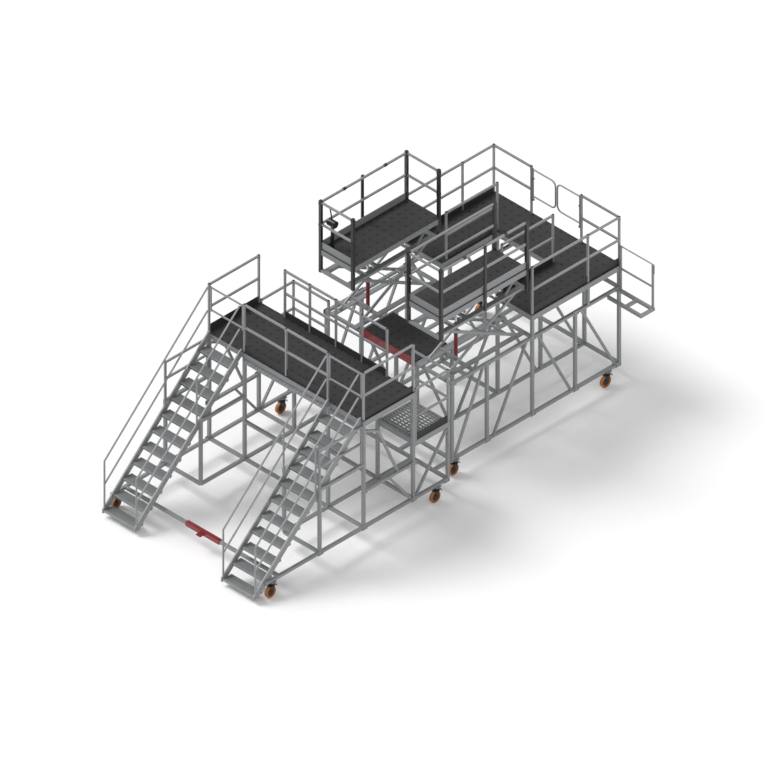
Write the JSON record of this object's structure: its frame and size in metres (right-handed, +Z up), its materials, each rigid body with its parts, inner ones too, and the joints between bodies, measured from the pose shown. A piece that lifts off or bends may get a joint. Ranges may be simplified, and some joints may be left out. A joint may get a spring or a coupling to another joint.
{
  "type": "aircraft maintenance platform",
  "caption": "Wheeled aluminium work dock with stairs, a front deck, a U-shaped rear deck, lifting side decks, guard rails and swivel casters.",
  "frame": {"origin": "on the floor under the middle of the whole outline", "axes": "+Z up, +Y from the foot of the stairs to the rear, +X to the right seen from the stairs"},
  "size_m": [4.769, 10.19, 4.85],
  "materials": {
    "aluminium": "satin mill finish",
    "deck": "matt charcoal sheet with small drain holes",
    "black": "satin black",
    "red": "gloss dark red",
    "chrome": "polished",
    "tread": "open non-slip aluminium",
    "caster_steel": "black",
    "tyre": "black tread with an orange-brown band"
  },
  "bodies": {
    "platform": {"front_frame": "aluminium", "rear_frame": "aluminium", "deck_frames": "aluminium", "deck_sheets": "deck", "guard_rails": "aluminium", "toe_boards": "deck", "stair_stringers": "aluminium", "stair_treads": "tread", "stair_handrails": "aluminium", "landing_gratings": "aluminium", "tow_beam": "red", "mid_deck_edge": "red", "outrigger": "aluminium", "lift_bases": "aluminium", "lift_barrels": "red", "extension_guides": "aluminium"},
    "caster_fork_front_left": {"caster_fork_front_left": "caster_steel"},
    "caster_wheel_front_left": {"caster_wheel_front_left": "tyre"},
    "caster_fork_front_right": {"caster_fork_front_right": "caster_steel"},
    "caster_wheel_front_right": {"caster_wheel_front_right": "tyre"},
    "caster_fork_centre_left": {"caster_fork_centre_left": "caster_steel"},
    "caster_wheel_centre_left": {"caster_wheel_centre_left": "tyre"},
    "caster_fork_centre_right": {"caster_fork_centre_right": "caster_steel"},
    "caster_wheel_centre_right": {"caster_wheel_centre_right": "tyre"},
    "caster_fork_mid_left": {"caster_fork_mid_left": "caster_steel"},
    "caster_wheel_mid_left": {"caster_wheel_mid_left": "tyre"},
    "caster_fork_mid_right": {"caster_fork_mid_right": "caster_steel"},
    "caster_wheel_mid_right": {"caster_wheel_mid_right": "tyre"},
    "caster_fork_rear_left": {"caster_fork_rear_left": "caster_steel"},
    "caster_wheel_rear_left": {"caster_wheel_rear_left": "tyre"},
    "caster_fork_rear_right": {"caster_fork_rear_right": "caster_steel"},
    "caster_wheel_rear_right": {"caster_wheel_rear_right": "tyre"},
    "outer_legs_left": {"outer_legs_left": "aluminium"},
    "inner_legs_left": {"inner_legs_left": "aluminium"},
    "wing_left": {"wing_frame_left": "aluminium", "wing_posts_left": "black", "wing_sheet_left": "deck", "wing_rails_left": "aluminium", "lift_rod_left": "chrome", "hand_pump": "black"},
    "rear_gate_left": {"rear_gate_left": "aluminium"},
    "stair_gate_left": {"stair_gate_left": "aluminium"},
    "rear_extension_left": {"rear_extension_left": "aluminium"},
    "outer_legs_right": {"outer_legs_right": "aluminium"},
    "inner_legs_right": {"inner_legs_right": "aluminium"},
    "wing_right": {"wing_frame_right": "aluminium", "wing_posts_right": "black", "wing_sheet_right": "deck", "wing_rails_right": "aluminium", "lift_rod_right": "chrome"},
    "rear_gate_right": {"rear_gate_right": "aluminium"},
    "stair_gate_right": {"stair_gate_right": "aluminium"},
    "rear_extension_right": {"rear_extension_right": "aluminium"},
    "front_extension": {"front_extension": "aluminium"}
  },
  "joints": [
    {"name": "swivel_front_left", "type": "hinge", "parent": "platform", "child": "caster_fork_front_left", "pos_m": [-2.328, -4.635, 0.3], "axis": [0, 0, 1], "continuous": true},
    {"name": "roll_front_left", "type": "hinge", "parent": "caster_fork_front_left", "child": "caster_wheel_front_left", "pos_m": [-2.328, -4.69, 0.125], "axis": [1, 0, 0], "continuous": true},
    {"name": "swivel_front_right", "type": "hinge", "parent": "platform", "child": "caster_fork_front_right", "pos_m": [1.812, -4.635, 0.3], "axis": [0, 0, 1], "continuous": true},
    {"name": "roll_front_right", "type": "hinge", "parent": "caster_fork_front_right", "child": "caster_wheel_front_right", "pos_m": [1.812, -4.69, 0.125], "axis": [1, 0, 0], "continuous": true},
    {"name": "swivel_centre_left", "type": "hinge", "parent": "platform", "child": "caster_fork_centre_left", "pos_m": [-2.328, -0.215, 0.3], "axis": [0, 0, 1], "continuous": true},
    {"name": "roll_centre_left", "type": "hinge", "parent": "caster_fork_centre_left", "child": "caster_wheel_centre_left", "pos_m": [-2.328, -0.27, 0.125], "axis": [1, 0, 0], "continuous": true},
    {"name": "swivel_centre_right", "type": "hinge", "parent": "platform", "child": "caster_fork_centre_right", "pos_m": [1.812, -0.215, 0.3], "axis": [0, 0, 1], "continuous": true},
    {"name": "roll_centre_right", "type": "hinge", "parent": "caster_fork_centre_right", "child": "caster_wheel_centre_right", "pos_m": [1.812, -0.27, 0.125], "axis": [1, 0, 0], "continuous": true},
    {"name": "swivel_mid_left", "type": "hinge", "parent": "platform", "child": "caster_fork_mid_left", "pos_m": [-1.938, 0.665, 0.3], "axis": [0, 0, 1], "continuous": true},
    {"name": "roll_mid_left", "type": "hinge", "parent": "caster_fork_mid_left", "child": "caster_wheel_mid_left", "pos_m": [-1.938, 0.61, 0.125], "axis": [1, 0, 0], "continuous": true},
    {"name": "swivel_mid_right", "type": "hinge", "parent": "platform", "child": "caster_fork_mid_right", "pos_m": [1.422, 0.665, 0.3], "axis": [0, 0, 1], "continuous": true},
    {"name": "roll_mid_right", "type": "hinge", "parent": "caster_fork_mid_right", "child": "caster_wheel_mid_right", "pos_m": [1.422, 0.61, 0.125], "axis": [1, 0, 0], "continuous": true},
    {"name": "swivel_rear_left", "type": "hinge", "parent": "platform", "child": "caster_fork_rear_left", "pos_m": [-1.938, 4.755, 0.3], "axis": [0, 0, 1], "continuous": true},
    {"name": "roll_rear_left", "type": "hinge", "parent": "caster_fork_rear_left", "child": "caster_wheel_rear_left", "pos_m": [-1.938, 4.7, 0.125], "axis": [1, 0, 0], "continuous": true},
    {"name": "swivel_rear_right", "type": "hinge", "parent": "platform", "child": "caster_fork_rear_right", "pos_m": [1.422, 4.755, 0.3], "axis": [0, 0, 1], "continuous": true},
    {"name": "roll_rear_right", "type": "hinge", "parent": "caster_fork_rear_right", "child": "caster_wheel_rear_right", "pos_m": [1.422, 4.7, 0.125], "axis": [1, 0, 0], "continuous": true},
    {"name": "lift_left", "type": "hinge", "parent": "platform", "child": "outer_legs_left", "pos_m": [-1.439, 2.485, 2.23], "axis": [1, 0, 0], "range_deg": [0, 13.6]},
    {"name": "scissor_left", "type": "hinge", "parent": "outer_legs_left", "child": "inner_legs_left", "pos_m": [-1.439, 1.61, 2.705], "axis": [1, 0, 0], "range_deg": [-27.4, 0]},
    {"name": "wing_level_left", "type": "hinge", "parent": "inner_legs_left", "child": "wing_left", "pos_m": [-1.439, 2.485, 3.18], "axis": [1, 0, 0], "range_deg": [0, 13.7]},
    {"name": "rear_gate_left_hinge", "type": "hinge", "parent": "platform", "child": "rear_gate_left", "pos_m": [-0.886, 5.068, 3.3], "axis": [0, 0, -1], "range_deg": [0, 90]},
    {"name": "stair_gate_left_hinge", "type": "hinge", "parent": "platform", "child": "stair_gate_left", "pos_m": [-1.42, -2.188, 3.3], "axis": [0, 0, -1], "range_deg": [0, 90]},
    {"name": "rear_extension_left_slide", "type": "slide", "parent": "platform", "child": "rear_extension_left", "axis": [1, 0, 0], "range_m": [0, 0.3]},
    {"name": "lift_right", "type": "hinge", "parent": "platform", "child": "outer_legs_right", "pos_m": [0.923, 2.485, 2.23], "axis": [1, 0, 0], "range_deg": [0, 13.6]},
    {"name": "scissor_right", "type": "hinge", "parent": "outer_legs_right", "child": "inner_legs_right", "pos_m": [0.923, 1.61, 2.705], "axis": [1, 0, 0], "range_deg": [-27.4, 0]},
    {"name": "wing_level_right", "type": "hinge", "parent": "inner_legs_right", "child": "wing_right", "pos_m": [0.923, 2.485, 3.18], "axis": [1, 0, 0], "range_deg": [0, 13.7]},
    {"name": "rear_gate_right_hinge", "type": "hinge", "parent": "platform", "child": "rear_gate_right", "pos_m": [0.37, 5.068, 3.3], "axis": [0, 0, 1], "range_deg": [0, 90]},
    {"name": "stair_gate_right_hinge", "type": "hinge", "parent": "platform", "child": "stair_gate_right", "pos_m": [0.904, -2.188, 3.3], "axis": [0, 0, 1], "range_deg": [0, 90]},
    {"name": "rear_extension_right_slide", "type": "slide", "parent": "platform", "child": "rear_extension_right", "axis": [-1, 0, 0], "range_m": [0, 0.3]},
    {"name": "front_extension_slide", "type": "slide", "parent": "platform", "child": "front_extension", "axis": [0, -1, 0], "range_m": [0, 0.35]}
  ],
  "couplings": [
    {"joint": "scissor_left", "follows": "lift_left", "ratio": -2},
    {"joint": "wing_level_left", "follows": "lift_left", "ratio": 1},
    {"joint": "scissor_right", "follows": "lift_right", "ratio": -2},
    {"joint": "wing_level_right", "follows": "lift_right", "ratio": 1}
  ]
}
